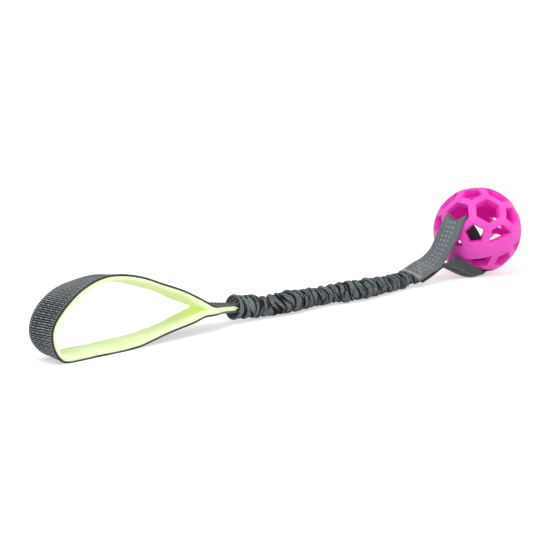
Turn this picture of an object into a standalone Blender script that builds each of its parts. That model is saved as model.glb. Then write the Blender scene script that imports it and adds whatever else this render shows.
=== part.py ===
"""Bungee tug toy: a padded webbing handle, a gathered elastic sleeve and a lattice ball on a strap.

Everything is drawn in the toy's own frame: X runs along the toy from the handle to the ball, Y across
it and Z up from the floor. The frame empty then brings the middle of the whole toy over the origin.
"""

import math

import bmesh
import bpy
import numpy as np
from mathutils import Matrix, Vector

# Whole toy
COLLECTION_NAME = "bungee_tug_toy"
GAP = 0.0003

# Handle loop and the tab that goes into the sleeve
LOOP_LENGTH = 0.150
LOOP_HEIGHT = 0.054
HANDLE_WIDTH = 0.025
WEBBING_THICKNESS = 0.0012
LINING_THICKNESS = 0.0028
TAB_LINING_THICKNESS = 0.0013
TAB_MOUTH_WIDTH = 0.0096
TAB_HEIGHT = 0.0155
JUNCTION_SPREAD = 1.3
TAB_LENGTH = 0.032
TAB_INSIDE = 0.010
LOOP_ROWS = 104
LOOP_COLUMNS = 5

# Gathered sleeve and the elastic inside it
SLEEVE_LENGTH = 0.202
SLEEVE_BOW = 0.0084
MOUTH_LIFT = 0.0026
MOUTH_RADIUS = 0.0094
MOUTH_WIDTH_SHARE = 0.86
SLEEVE_WALL = 0.0008
RUFFLE_COUNT = 27
RUFFLE_GROWTH_SHARE = 0.26
RUFFLE_DEPTH = 0.0019
RUFFLE_SLANT = 0.0026
RINGS_PER_RUFFLE = 5
RING_POINTS = 18
BORE_RINGS = 28
CLOSED_END = 0.015
TAIL_LENGTH = 0.012
TAIL_WIDTH = 0.0182
TAIL_SPREAD_SHARE = 1.24
TAIL_FLATTENED_SHARE = 0.50
PRESS_START_SHARE = 0.925
TAIL_THICKNESS = 0.0014
CORE_RADIUS = 0.0030

# Ball strap
STRAP_WIDTH = 0.020
STRAP_THICKNESS = 0.0013
STRAP_ROWS = 96
STRAP_COLUMNS = 9
SEAM_LENGTH = 0.024
SEAM_RISE = 0.0070
SEAM_ROLL = math.radians(17.0)
TACK_LENGTH = 0.0165
TACK_WIDTH = 0.0016
TACK_HEIGHT = 0.0008

# Lattice ball
BALL_RADIUS = 0.0354
BALL_STANDOFF_SHARE = 1.6396
BALL_POLE_SHARE = 0.9718
BALL_WALL_SHARE = 0.1751
RIB_WIDTH_SHARE = 0.1638
BELT_WIDTH_SHARE = 0.2966
RIM_ROUND_SHARE = 0.0311
BALL_TILT = math.radians(22.85)
BALL_TILT_HEADING = math.radians(-164.7)
BALL_SPIN = math.radians(20.8)

# Colours (linear RGB), roughness and metallic value
GREY_WEBBING = ((0.150, 0.165, 0.175), 0.85, 0.0)
LIME_LINING = ((0.760, 0.900, 0.400), 0.90, 0.0)
GREY_SLEEVE = ((0.080, 0.092, 0.100), 0.90, 0.0)
ELASTIC_BLACK = ((0.020, 0.020, 0.022), 0.80, 0.0)
GREY_STRAP = ((0.150, 0.170, 0.180), 0.85, 0.0)
PALE_THREAD = ((0.400, 0.415, 0.405), 0.70, 0.0)
PINK_RUBBER = ((0.950, 0.070, 0.560), 0.45, 0.0)

# Handle outline, as shares of the loop's length and height, from the tab over the top, round the end
# and back under. The near line faces -Y and the far line +Y: the loop leans a little between them.
LOOP_NEAR_SHARES = (
    (1.000, 0.336),
    (0.950, 0.433), (0.883, 0.531), (0.822, 0.613), (0.675, 0.770), (0.537, 0.911), (0.400, 0.989),
    (0.335, 0.998), (0.277, 0.980), (0.149, 0.848), (0.101, 0.759), (0.049, 0.639), (0.014, 0.530),
    (-0.004, 0.422), (-0.005, 0.304), (0.008, 0.181), (0.031, 0.085), (0.059, 0.022), (0.093, 0.000),
    (0.253, 0.000), (0.452, 0.000), (0.527, 0.015), (0.613, 0.059), (0.699, 0.106), (0.785, 0.141),
    (0.873, 0.176), (0.945, 0.220),
    (1.000, 0.247),
)
LOOP_FAR_SHARES = (
    (1.020, 0.336),
    (0.952, 0.449), (0.882, 0.529), (0.820, 0.597), (0.672, 0.748), (0.532, 0.856), (0.397, 0.930),
    (0.337, 0.930), (0.279, 0.914), (0.149, 0.842), (0.098, 0.772), (0.044, 0.649), (0.015, 0.526),
    (0.004, 0.416), (0.007, 0.306), (0.025, 0.208), (0.049, 0.135), (0.072, 0.085), (0.101, 0.041),
    (0.253, 0.000), (0.453, 0.001), (0.528, 0.003), (0.614, 0.013), (0.701, 0.032), (0.790, 0.065),
    (0.878, 0.109), (0.950, 0.151),
    (1.020, 0.227),
)

# Sleeve course: share of its length, of its bow to the near side, of the mouth's radius and of the
# mouth's lift off the floor.
SLEEVE_COURSE_SHARES = (
    (0.000, 0.00, 1.000, 1.00), (0.089, 0.00, 0.990, 0.22), (0.139, 0.06, 0.900, 0.00),
    (0.188, 0.31, 0.915, 0.00), (0.252, 0.55, 0.968, 0.00), (0.312, 0.45, 0.926, 0.00),
    (0.371, 0.32, 0.872, 0.00), (0.460, 0.29, 0.830, 0.00), (0.520, 0.50, 0.862, 0.00),
    (0.564, 0.86, 0.920, 0.00), (0.614, 0.99, 0.894, 0.00), (0.683, 0.98, 0.862, 0.00),
    (0.748, 0.81, 0.809, 0.00), (0.822, 0.58, 0.777, 0.00), (0.881, 0.42, 0.766, 0.00),
    (0.941, 0.20, 0.777, 0.05), (1.000, 0.00, 0.777, 0.25),
)

# Ball strap, from the seam's top ply through the ball and back to the seam's lower ply. Each line
# holds offsets from the ball's centre as shares of its radius: the near edge, the middle and the far
# edge of the webbing. The seam's own rows are worked out from the seam.
STRAP_NEAR_SHARES = (
    (-1.452, -0.302, -0.386), (-1.288, -0.331, -0.160), (-1.133, -0.331, 0.001),
    (-0.965, -0.337, 0.265), (-0.865, -0.345, 0.445), (-0.765, -0.310, 0.405),
    (-0.660, -0.285, 0.360), (-0.560, -0.330, 0.230), (-0.479, -0.417, 0.043),
    (-0.403, -0.463, -0.211), (-0.290, -0.455, -0.448), (-0.195, -0.373, -0.606),
    (-0.203, -0.390, -0.705), (-0.209, -0.418, -0.796), (-0.263, -0.446, -0.855),
    (-0.381, -0.469, -0.844), (-0.486, -0.472, -0.787), (-0.698, -0.401, -0.660),
    (-0.856, -0.260, -0.544), (-1.020, -0.175, -0.482), (-1.251, -0.249, -0.496),
    (-1.458, -0.299, -0.553),
)
STRAP_MIDDLE_SHARES = (
    (-1.429, -0.028, -0.338), (-1.297, -0.056, -0.143), (-1.181, -0.056, 0.040),
    (-1.048, -0.056, 0.244), (-1.003, -0.051, 0.317), (-0.890, -0.045, 0.275),
    (-0.777, -0.045, 0.224), (-0.670, -0.108, 0.108), (-0.573, -0.169, -0.027),
    (-0.460, -0.203, -0.231), (-0.278, -0.207, -0.482), (-0.051, -0.192, -0.680),
    (-0.048, -0.212, -0.779), (-0.071, -0.237, -0.872), (-0.184, -0.268, -0.943),
    (-0.381, -0.311, -0.947), (-0.551, -0.333, -0.947), (-0.715, -0.311, -0.912),
    (-0.907, -0.266, -0.821), (-1.110, -0.198, -0.731), (-1.319, -0.136, -0.629),
    (-1.483, -0.068, -0.573),
)
STRAP_FAR_SHARES = (
    (-1.407, 0.246, -0.293), (-1.302, 0.218, -0.126), (-1.206, 0.196, 0.071),
    (-1.056, 0.170, 0.300), (-0.935, 0.150, 0.450), (-0.822, 0.138, 0.410),
    (-0.706, 0.127, 0.365), (-0.640, 0.127, 0.227), (-0.584, 0.100, 0.043),
    (-0.513, 0.069, -0.188), (-0.353, 0.042, -0.460), (-0.212, -0.003, -0.703),
    (-0.218, -0.034, -0.799), (-0.229, -0.059, -0.889), (-0.308, -0.090, -0.943),
    (-0.444, -0.090, -0.945), (-0.613, -0.045, -0.929), (-0.794, 0.034, -0.855),
    (-0.949, 0.085, -0.776), (-1.133, 0.136, -0.680), (-1.316, 0.198, -0.584),
    (-1.455, 0.223, -0.505),
)


# Helpers


def clear_scene():
    """Remove everything that the opened file holds."""
    for scene_object in list(bpy.data.objects):
        bpy.data.objects.remove(scene_object, do_unlink=True)


def make_material(name, finish):
    """Return a plain Principled material."""
    colour, roughness, metallic = finish
    material = bpy.data.materials.new(name)
    material.use_nodes = True
    shader = material.node_tree.nodes["Principled BSDF"]
    shader.inputs["Base Color"].default_value = (*colour, 1.0)
    shader.inputs["Roughness"].default_value = roughness
    shader.inputs["Metallic"].default_value = metallic
    material.diffuse_color = (*colour, 1.0)
    return material


def add_object(name, mesh, finish, collection, pivot):
    """Put a mesh drawn in the toy's frame under its pivot, with its own material."""
    part = bpy.data.objects.new(name, mesh)
    mesh.materials.append(make_material(name + "_finish", finish))
    collection.objects.link(part)
    part.parent = pivot
    part.location = -pivot_place(pivot)
    return part


def pivot_place(pivot):
    """Return a pivot's place in the toy's frame."""
    return Vector(pivot.location) if pivot.parent else Vector((0.0, 0.0, 0.0))


def add_pivot(name, place, parent, collection):
    """Add an empty that stands on a joint's axis."""
    pivot = bpy.data.objects.new(name, None)
    pivot.empty_display_size = HANDLE_WIDTH
    collection.objects.link(pivot)
    pivot.parent = parent
    pivot.location = place
    return pivot


def mesh_from_faces(name, points, faces):
    """Return a mesh with its normals turned outwards."""
    mesh = bpy.data.meshes.new(name)
    mesh.from_pydata([tuple(point) for point in points], [], faces)
    shell = bmesh.new()
    shell.from_mesh(mesh)
    bmesh.ops.recalc_face_normals(shell, faces=shell.faces)
    shell.to_mesh(mesh)
    shell.free()
    return mesh


def chord_steps(points):
    """Return the running length along a polyline."""
    steps = np.linalg.norm(np.diff(points, axis=0), axis=1)
    return np.concatenate(([0.0], np.cumsum(steps)))


def smooth_path(points, knots, places):
    """Return places on a smooth curve through the points, which stand at the knots."""
    points = np.asarray(points, dtype=float)
    slopes = np.gradient(points, knots, axis=0)
    index = np.clip(np.searchsorted(knots, places, side="right") - 1, 0, len(knots) - 2)
    span = (knots[index + 1] - knots[index])[:, None]
    share = (places - knots[index])[:, None] / span
    start_part = (1 + 2 * share) * (1 - share) ** 2 * points[index]
    end_part = share ** 2 * (3 - 2 * share) * points[index + 1]
    start_slope = share * (1 - share) ** 2 * span * slopes[index]
    end_slope = share ** 2 * (share - 1) * span * slopes[index + 1]
    return start_part + end_part + start_slope + end_slope


def ribbon_grid(near, middle, far, rows, columns):
    """Return rows of points across a ribbon whose section bends through its middle line."""
    knots = chord_steps(np.asarray(middle, dtype=float))
    places = np.linspace(knots[0], knots[-1], rows)
    near, middle, far = (smooth_path(line, knots, places) for line in (near, middle, far))
    across = np.linspace(-1.0, 1.0, columns)[None, :, None]
    half_chord = (far - near)[:, None, :] / 2
    lift = ((near + far) / 2 - middle)[:, None, :]
    return middle[:, None, :] + half_chord * across + lift * across ** 2


def grid_normals(grid):
    """Return unit normals of a grid of points."""
    along = np.gradient(grid, axis=0)
    across = np.gradient(grid, axis=1)
    normals = np.cross(along, across)
    return normals / np.linalg.norm(normals, axis=2, keepdims=True)


def grid_solid(name, grid, inner, outer):
    """Return a closed mesh between two offsets of a grid, with square borders."""
    normals = grid_normals(grid)
    rows, columns = grid.shape[:2]
    skins = [grid + normals * inner, grid + normals * outer]
    points = np.concatenate([skin.reshape(-1, 3) for skin in skins])
    points[:, 2] = np.maximum(points[:, 2], 0.0)

    def corner(skin, row, column):
        return skin * rows * columns + row * columns + column

    faces = []
    for row in range(rows - 1):
        for column in range(columns - 1):
            for skin in (0, 1):
                faces.append((corner(skin, row, column), corner(skin, row + 1, column),
                              corner(skin, row + 1, column + 1), corner(skin, row, column + 1)))
    for row in range(rows - 1):
        for column in (0, columns - 1):
            faces.append((corner(0, row, column), corner(0, row + 1, column),
                          corner(1, row + 1, column), corner(1, row, column)))
    for column in range(columns - 1):
        for row in (0, rows - 1):
            faces.append((corner(0, row, column), corner(0, row, column + 1),
                          corner(1, row, column + 1), corner(1, row, column)))
    return mesh_from_faces(name, points, faces)


# Handle


def tab_rows(side, width_sign):
    """Return the tab's guide points on one ply, from the loop to the end inside the sleeve."""
    lift = side * tab_half_thickness()
    waist_x = LOOP_LENGTH + 0.5 * TAB_LENGTH
    waist_z = 0.5 * (TAB_HEIGHT + sleeve_axis(0.0).z)
    points = [(waist_x, width_sign * (0.2 * HANDLE_WIDTH + 0.3 * TAB_MOUTH_WIDTH), waist_z + lift)]
    for share in (-0.2, 0.4, 1.0):
        place = sleeve_axis(share * TAB_INSIDE / SLEEVE_LENGTH)
        points.append((place.x, place.y + width_sign * TAB_MOUTH_WIDTH / 2, place.z + lift))
    return points


def tab_half_thickness():
    """Return half of the tab's height: two plies of lining between two of webbing."""
    return GAP / 2 + TAB_LINING_THICKNESS + GAP + WEBBING_THICKNESS


def handle_line(shares, width_sign):
    """Return one edge line of the handle, from the end inside the sleeve round the loop and back."""
    half = width_sign * HANDLE_WIDTH / 2
    loop = [(x * LOOP_LENGTH, half, z * LOOP_HEIGHT) for x, z in shares]
    for end, side in ((0, 1), (-1, -1)):
        loop[end] = (loop[end][0], half, TAB_HEIGHT + side * JUNCTION_SPREAD * tab_half_thickness())
    return np.array(tab_rows(1, width_sign)[::-1] + loop + tab_rows(-1, width_sign))


def handle_grid():
    """Return the handle's outer surface as a grid of points."""
    near = handle_line(LOOP_NEAR_SHARES, -1)
    far = handle_line(LOOP_FAR_SHARES, 1)
    grid = ribbon_grid(near, (near + far) / 2, far, LOOP_ROWS, LOOP_COLUMNS)
    grid[:, :, 2] = np.maximum(grid[:, :, 2], 0.0)
    return grid


def build_handle(collection, pivot):
    """Build the outer webbing and the soft lining that is sewn inside it."""
    grid = handle_grid()
    webbing = grid_solid("handle_webbing", grid, 0.0, WEBBING_THICKNESS)
    add_object("handle_webbing", webbing, GREY_WEBBING, collection, pivot)
    padded = grid[3:-3]
    fullness = np.clip((1.0 - padded[:, :1, :1] / LOOP_LENGTH) / 0.1, 0.0, 1.0)
    thickness = TAB_LINING_THICKNESS + (LINING_THICKNESS - TAB_LINING_THICKNESS) * fullness
    skin = WEBBING_THICKNESS + GAP
    lining = grid_solid("handle_lining", padded, skin, skin + thickness)
    add_object("handle_lining", lining, LIME_LINING, collection, pivot)


# Sleeve and elastic


def sleeve_course(share):
    """Return the sideways share, thickness share and lift share at a share of the sleeve's length."""
    stations = np.array(SLEEVE_COURSE_SHARES)
    place = np.array([min(max(share, 0.0), 1.0)])
    return smooth_path(stations[:, 1:], stations[:, 0], place)[0]


def crest_radius(share):
    """Return the sleeve's radius over its ruffles."""
    return MOUTH_RADIUS * sleeve_course(share)[1]


def sleeve_axis(share):
    """Return the sleeve's centre at a share of its length: it lies bowed on the floor."""
    sideways, thickness, lift = sleeve_course(share)
    height = MOUTH_RADIUS * thickness + MOUTH_LIFT * lift
    along = LOOP_LENGTH + TAB_LENGTH + share * SLEEVE_LENGTH
    return Vector((along, -SLEEVE_BOW * sideways, height))


def sleeve_frame(share):
    """Return the sleeve's centre, its sideways direction and its up direction."""
    step = 0.5 / RUFFLE_COUNT
    ahead, behind = sleeve_axis(min(share + step, 1.0)), sleeve_axis(max(share - step, 0.0))
    along = (ahead - behind).normalized()
    level = Vector((-along.y, along.x, 0.0)).normalized()
    sideways = level.lerp(seam_frame()[1], pressed(share))
    sideways = (sideways - along * sideways.dot(along)).normalized()
    return sleeve_axis(share), sideways, along.cross(sideways)


def pressed(share):
    """Return how far the sleeve is flattened at a place: it widens to the strap's seam."""
    part = min(max((share - PRESS_START_SHARE) / (1.0 - PRESS_START_SHARE), 0.0), 1.0)
    return part * part * (3.0 - 2.0 * part)


def ruffle_share(count):
    """Return where on the sleeve a ruffle count falls: the ruffles crowd towards the strap."""
    shares = np.linspace(0.0, 1.0, 400)
    counts = shares * (1.0 - RUFFLE_GROWTH_SHARE) + shares ** 2 * RUFFLE_GROWTH_SHARE
    return float(np.interp(count / RUFFLE_COUNT, counts, shares))


def slant(share, angle):
    """Return how far a ruffle runs ahead of its middle at an angle, as a share of the length."""
    lean = math.cos(angle - 0.7 - 0.5 * math.sin(9.0 * share))
    curl = 0.35 * math.sin(2.0 * angle + 31.0 * share)
    held_ends = min(share / 0.06, (1.0 - share) / 0.06, 1.0)
    return RUFFLE_SLANT / SLEEVE_LENGTH * (lean + curl) * held_ends


def ruffle(count, share, angle):
    """Return how deep the gathered cloth folds in at a place on the sleeve."""
    crease = (0.5 + 0.5 * math.cos(2 * math.pi * (count + 0.4))) ** 1.5
    strength = 0.82 + 0.18 * math.sin(37.0 * share + 2.0 * math.sin(angle))
    return RUFFLE_DEPTH * strength * crease


def ring(radii):
    """Return one ring: radii gives each angle's share of the length and its two radii."""
    points = []
    for index in range(RING_POINTS):
        angle = 2 * math.pi * index / RING_POINTS
        share, wide, tall = radii(angle)
        centre, sideways, up = sleeve_frame(share)
        points.append(centre + sideways * math.cos(angle) * wide + up * math.sin(angle) * tall)
    return points


def flatness(share):
    """Return the sleeve's width over its height: the mouth is pinched sideways."""
    return 1.0 - (1.0 - MOUTH_WIDTH_SHARE) * math.exp(-((share / 0.12) ** 2))


def outer_rings():
    """Return the ruffled outside of the sleeve, with its rings laid along the ruffles."""
    rings = []
    for index in range(RUFFLE_COUNT * RINGS_PER_RUFFLE - 3):
        count = index / RINGS_PER_RUFFLE
        middle = ruffle_share(count)

        def radii(angle, count=count, middle=middle):
            share = middle + slant(middle, angle)
            radius = crest_radius(share) - ruffle(count, middle, angle)
            wide = radius * flatness(share) * (1.0 + (TAIL_SPREAD_SHARE - 1.0) * pressed(share))
            tall = radius * (1.0 + (TAIL_FLATTENED_SHARE - 1.0) * pressed(share))
            return share, wide, tall

        rings.append(ring(radii))
    return rings


def seam_frame():
    """Return where the strap's seam starts, its far direction and its up direction."""
    start = sleeve_axis(1.0)
    pitch = math.asin(SEAM_RISE / SEAM_LENGTH)
    turn = Matrix.Rotation(-pitch, 3, "Y") @ Matrix.Rotation(SEAM_ROLL, 3, "X")
    return start, turn @ Vector((0.0, 1.0, 0.0)), turn @ Vector((0.0, 0.0, 1.0))


def seam_axis(share):
    """Return a place on the seam's middle plane, and the seam's across and up directions."""
    start, across, up = seam_frame()
    along = across.cross(up)
    return start + along * share * SEAM_LENGTH, across, up


def tail_rings():
    """Return the sleeve's flat end, which lies between the strap's plies."""
    end_radius = crest_radius(1.0)
    flat = (TAIL_WIDTH / 2, TAIL_THICKNESS / 2)
    spread = (end_radius * TAIL_SPREAD_SHARE, end_radius * TAIL_FLATTENED_SHARE)
    sizes = ((-0.13, *spread), (-0.02, *flat), (0.2, *flat), (TAIL_LENGTH / SEAM_LENGTH, *flat))
    rings = []
    for share, wide, tall in sizes:
        centre, across, up = seam_axis(share)
        angles = [2 * math.pi * index / RING_POINTS for index in range(RING_POINTS)]
        rings.append([centre + across * math.cos(angle) * wide + up * math.sin(angle) * tall
                      for angle in angles])
    return rings


def bore_rings():
    """Return the inside of the sleeve, from the mouth to its closed end."""
    rings = []
    for index in range(BORE_RINGS):
        share = index / (BORE_RINGS - 1) * (1.0 - CLOSED_END / SLEEVE_LENGTH)

        def radii(angle, share=share):
            radius = crest_radius(share) - RUFFLE_DEPTH - SLEEVE_WALL
            radius += 0.45 * RUFFLE_DEPTH * math.exp(-((share / 0.03) ** 2))
            return share, radius * flatness(share), radius

        rings.append(ring(radii))
    return rings


def build_sleeve(collection, pivot):
    """Build the gathered sleeve: ruffled outside, smooth bore, flat sewn end."""
    outside = outer_rings() + tail_rings()
    inside = bore_rings()
    points = [point for one_ring in outside + inside for point in one_ring]
    faces = []

    def bridge(first, second):
        for index in range(RING_POINTS):
            after = (index + 1) % RING_POINTS
            faces.append((first * RING_POINTS + index, first * RING_POINTS + after,
                          second * RING_POINTS + after, second * RING_POINTS + index))

    for index in range(len(outside) - 1):
        bridge(index, index + 1)
    for index in range(len(outside), len(outside) + len(inside) - 1):
        bridge(index, index + 1)
    bridge(0, len(outside))
    for last in (len(outside) - 1, len(outside) + len(inside) - 1):
        faces.append(tuple(last * RING_POINTS + index for index in range(RING_POINTS)))
    mesh = mesh_from_faces("bungee_sleeve", points, faces)
    add_object("bungee_sleeve", mesh, GREY_SLEEVE, collection, pivot)


def build_core(collection, pivot):
    """Build the elastic that runs inside the sleeve from the handle's tab to the strap."""
    start = (TAB_INSIDE + 2 * GAP) / SLEEVE_LENGTH
    shares = np.linspace(start, 1.0 - (CLOSED_END + GAP) / SLEEVE_LENGTH, BORE_RINGS)
    curve = bpy.data.curves.new("elastic_core_path", "CURVE")
    curve.dimensions = "3D"
    curve.bevel_depth = CORE_RADIUS
    curve.bevel_resolution = 2
    curve.use_fill_caps = True
    spline = curve.splines.new("POLY")
    spline.points.add(len(shares) - 1)
    for point, share in zip(spline.points, shares):
        point.co = (*sleeve_axis(share), 1.0)
    add_object("elastic_core", curve, ELASTIC_BLACK, collection, pivot)


# Strap


def ball_centre():
    """Return the ball's centre: it rests on the floor on its lattice."""
    flat_part = math.sin(BALL_TILT)
    pole_part = BALL_POLE_SHARE * math.cos(BALL_TILT)
    along = seam_axis(1.0)[0].x + BALL_RADIUS * BALL_STANDOFF_SHARE
    return Vector((along, 0.0, BALL_RADIUS * math.hypot(flat_part, pole_part)))


def seam_point(share, side, across_share, lift):
    """Return a point on one ply of the seam."""
    centre, across, up = seam_axis(share)
    return centre + across * across_share * STRAP_WIDTH / 2 + up * side * lift


def strap_line(shares, across_share):
    """Return one guide line of the strap: seam, ball loop, seam."""
    centre = ball_centre()
    thick_lift = TAIL_THICKNESS / 2 + GAP + STRAP_THICKNESS / 2
    thin_lift = GAP / 2 + STRAP_THICKNESS / 2
    rows = ((0.0, thick_lift), (TAIL_LENGTH / SEAM_LENGTH + 0.04, thick_lift), (0.86, thin_lift))
    upper = [seam_point(share, 1, across_share, lift) for share, lift in rows]
    lower = [seam_point(share, -1, across_share, lift) for share, lift in rows]
    loop = [centre + Vector(share) * BALL_RADIUS for share in shares]
    return np.array([tuple(point) for point in upper + loop + lower[::-1]])


def build_strap(collection, pivot):
    """Build the strap that runs through the ball and back, and the sewn bar across its ends."""
    near = strap_line(STRAP_NEAR_SHARES, -1)
    middle = strap_line(STRAP_MIDDLE_SHARES, 0)
    far = strap_line(STRAP_FAR_SHARES, 1)
    grid = ribbon_grid(near, middle, far, STRAP_ROWS, STRAP_COLUMNS)
    mesh = grid_solid("ball_strap", grid, -STRAP_THICKNESS / 2, STRAP_THICKNESS / 2)
    add_object("ball_strap", mesh, GREY_STRAP, collection, pivot)


def build_tack(collection, pivot):
    """Build the raised bar of thread that holds the strap's ends on the sleeve."""
    centre, across, up = seam_axis(0.07)
    along = across.cross(up)
    lift = TAIL_THICKNESS / 2 + GAP + STRAP_THICKNESS + GAP
    sizes = (TACK_WIDTH, TACK_LENGTH, TACK_HEIGHT)
    bar = bmesh.new()
    bmesh.ops.create_cube(bar, size=1.0)
    turn = Matrix((along, across, up)).transposed().to_4x4()
    place = Matrix.Translation(centre + up * (lift + TACK_HEIGHT / 2))
    bmesh.ops.transform(bar, matrix=place @ turn @ Matrix.Diagonal((*sizes, 1.0)), verts=bar.verts)
    mesh = bpy.data.meshes.new("strap_bar_tack")
    bar.to_mesh(mesh)
    bar.free()
    part = add_object("strap_bar_tack", mesh, PALE_THREAD, collection, pivot)
    bevel = part.modifiers.new("soft_edges", "BEVEL")
    bevel.width = TACK_HEIGHT * 0.4
    bevel.segments = 2


# Ball


def lattice_faces():
    """Return a truncated icosahedron on the unit sphere, cut above and below the belt."""
    lattice = bmesh.new()
    bmesh.ops.create_icosphere(lattice, subdivisions=1, radius=1.0)
    bmesh.ops.bevel(lattice, geom=lattice.verts[:], offset=100.0 / 3.0, offset_type="PERCENT",
                    affect="VERTICES", segments=1, profile=0.5)
    bmesh.ops.remove_doubles(lattice, verts=lattice.verts[:], dist=0.001)
    belt_cut = (BELT_WIDTH_SHARE - RIB_WIDTH_SHARE) / 2
    for side in (1, -1):
        everything = lattice.verts[:] + lattice.edges[:] + lattice.faces[:]
        bmesh.ops.bisect_plane(lattice, geom=everything, plane_co=(0.0, 0.0, side * belt_cut),
                               plane_no=(0.0, 0.0, 1.0), dist=0.0001)
    return lattice


def open_cells(lattice):
    """Open a window in each cell, and leave the belt and its slivers solid."""
    belt_edge = BELT_WIDTH_SHARE * 0.62
    cells = [face for face in lattice.faces if abs(face.calc_center_median().z) > belt_edge]
    face_radius = 0.93
    inset = RIB_WIDTH_SHARE / 2 * face_radius
    bmesh.ops.inset_individual(lattice, faces=cells, thickness=inset, use_even_offset=True)
    bmesh.ops.delete(lattice, geom=cells, context="FACES_ONLY")


def build_ball(collection, pivot):
    """Build the hollow ball: lattice ribs round a solid belt, with rounded rims."""
    lattice = lattice_faces()
    open_cells(lattice)
    bmesh.ops.subdivide_edges(lattice, edges=lattice.edges[:], cuts=1, use_grid_fill=True)
    for vertex in lattice.verts:
        direction = vertex.co.normalized()
        vertex.co = direction * BALL_RADIUS
        vertex.co.z *= BALL_POLE_SHARE
    turn = (Matrix.Rotation(BALL_TILT_HEADING, 4, "Z") @ Matrix.Rotation(BALL_TILT, 4, "Y")
            @ Matrix.Rotation(BALL_SPIN, 4, "Z"))
    bmesh.ops.transform(lattice, matrix=Matrix.Translation(ball_centre()) @ turn, verts=lattice.verts)
    bmesh.ops.recalc_face_normals(lattice, faces=lattice.faces)
    mesh = bpy.data.meshes.new("ball")
    lattice.to_mesh(mesh)
    lattice.free()
    part = add_object("ball", mesh, PINK_RUBBER, collection, pivot)
    wall = part.modifiers.new("wall", "SOLIDIFY")
    wall.thickness = BALL_RADIUS * BALL_WALL_SHARE
    wall.offset = -1.0
    rims = part.modifiers.new("rounded_rims", "BEVEL")
    rims.width = BALL_RADIUS * RIM_ROUND_SHARE
    rims.segments = 1
    rims.limit_method = "ANGLE"
    rims.angle_limit = math.radians(50.0)


# Whole toy


def centre_toy(frame, collection):
    """Move the frame so that the toy's middle is over the origin and its lowest point on the floor."""
    bpy.context.view_layer.update()
    graph = bpy.context.evaluated_depsgraph_get()
    corners = []
    for part in collection.objects:
        if part.type != "EMPTY":
            shown = part.evaluated_get(graph)
            mesh = shown.to_mesh()
            corners += [shown.matrix_world @ vertex.co for vertex in mesh.vertices]
            shown.to_mesh_clear()
    low = [min(corner[axis] for corner in corners) for axis in range(3)]
    high = [max(corner[axis] for corner in corners) for axis in range(3)]
    frame.location = (-(low[0] + high[0]) / 2, -(low[1] + high[1]) / 2, -low[2])


def build_toy():
    """Build every piece under its pivot."""
    clear_scene()
    collection = bpy.data.collections.new(COLLECTION_NAME)
    bpy.context.scene.collection.children.link(collection)
    frame = add_pivot("toy_frame", (0.0, 0.0, 0.0), None, collection)
    tab_middle = sleeve_axis(0.5 * TAB_INSIDE / SLEEVE_LENGTH)
    handle_pivot = add_pivot("handle_pivot", tab_middle, frame, collection)
    stretch_end = add_pivot("stretch_end", sleeve_axis(1.0), frame, collection)
    strap_pivot = add_pivot("strap_pivot", sleeve_axis(1.0), frame, collection)
    ball_pivot = add_pivot("ball_pivot", ball_centre(), frame, collection)
    build_handle(collection, handle_pivot)
    build_sleeve(collection, frame)
    build_core(collection, stretch_end)
    build_strap(collection, strap_pivot)
    build_tack(collection, strap_pivot)
    build_ball(collection, ball_pivot)
    centre_toy(frame, collection)


build_toy()
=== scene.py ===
"""Looks of the bungee tug toy: woven webbing, padded lining, gathered sleeve and lattice ball.

Shapes are drawn in the toy's own frame, with X from the handle to the ball, and SHIFT moves them
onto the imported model. Lengths are in metres.
"""

import random
from math import asin, hypot, pi, radians

import bmesh
import bpy
import numpy as np
from mathutils import Matrix, Vector
from numpy import cos, sin

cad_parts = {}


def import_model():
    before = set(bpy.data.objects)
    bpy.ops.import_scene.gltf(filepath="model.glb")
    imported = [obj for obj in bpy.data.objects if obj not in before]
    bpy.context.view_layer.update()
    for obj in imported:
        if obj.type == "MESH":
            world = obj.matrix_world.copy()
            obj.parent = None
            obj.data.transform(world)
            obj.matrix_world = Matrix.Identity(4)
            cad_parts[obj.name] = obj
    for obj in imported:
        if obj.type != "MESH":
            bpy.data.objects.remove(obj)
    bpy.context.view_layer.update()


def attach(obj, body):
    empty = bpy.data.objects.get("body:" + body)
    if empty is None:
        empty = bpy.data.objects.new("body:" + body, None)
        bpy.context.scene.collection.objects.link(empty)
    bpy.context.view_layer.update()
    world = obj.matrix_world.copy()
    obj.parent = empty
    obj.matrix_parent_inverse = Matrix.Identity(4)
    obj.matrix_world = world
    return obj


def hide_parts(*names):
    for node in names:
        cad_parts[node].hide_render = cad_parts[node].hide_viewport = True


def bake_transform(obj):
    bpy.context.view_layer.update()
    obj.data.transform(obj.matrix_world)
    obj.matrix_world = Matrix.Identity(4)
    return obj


SHIFT = np.array((-0.249588, 0.0, 0.0))
GAP = 0.0003
FLOOR_GAP = 0.00002
NORMAL_STEP = 0.0004

# Handle
LOOP_LENGTH = 0.150
LOOP_HEIGHT = 0.054
HANDLE_WIDTH = 0.025
WEBBING_THICKNESS = 0.0012
LINING_THICKNESS = 0.0028
LINING_CLOSE_X = 0.112
LINING_CLOSE_FILL = 0.0019
LINING_WIDTH_SHARE = 0.985
LINING_POINT_LENGTH = 0.0045
LINING_PRESS = 0.0005
TAB_LINING_THICKNESS = 0.0013
TAB_HALF_THICKNESS = GAP / 2 + TAB_LINING_THICKNESS + GAP + WEBBING_THICKNESS
TAB_MOUTH_WIDTH = 0.0096
TAB_HEIGHT = 0.0155
JUNCTION_SPREAD = 1.3
TAB_INSIDE = 0.010
RIB_PITCH = 0.0017
RIB_RELIEF = 0.00013
STRIP_ROUND = 0.0005

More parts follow.
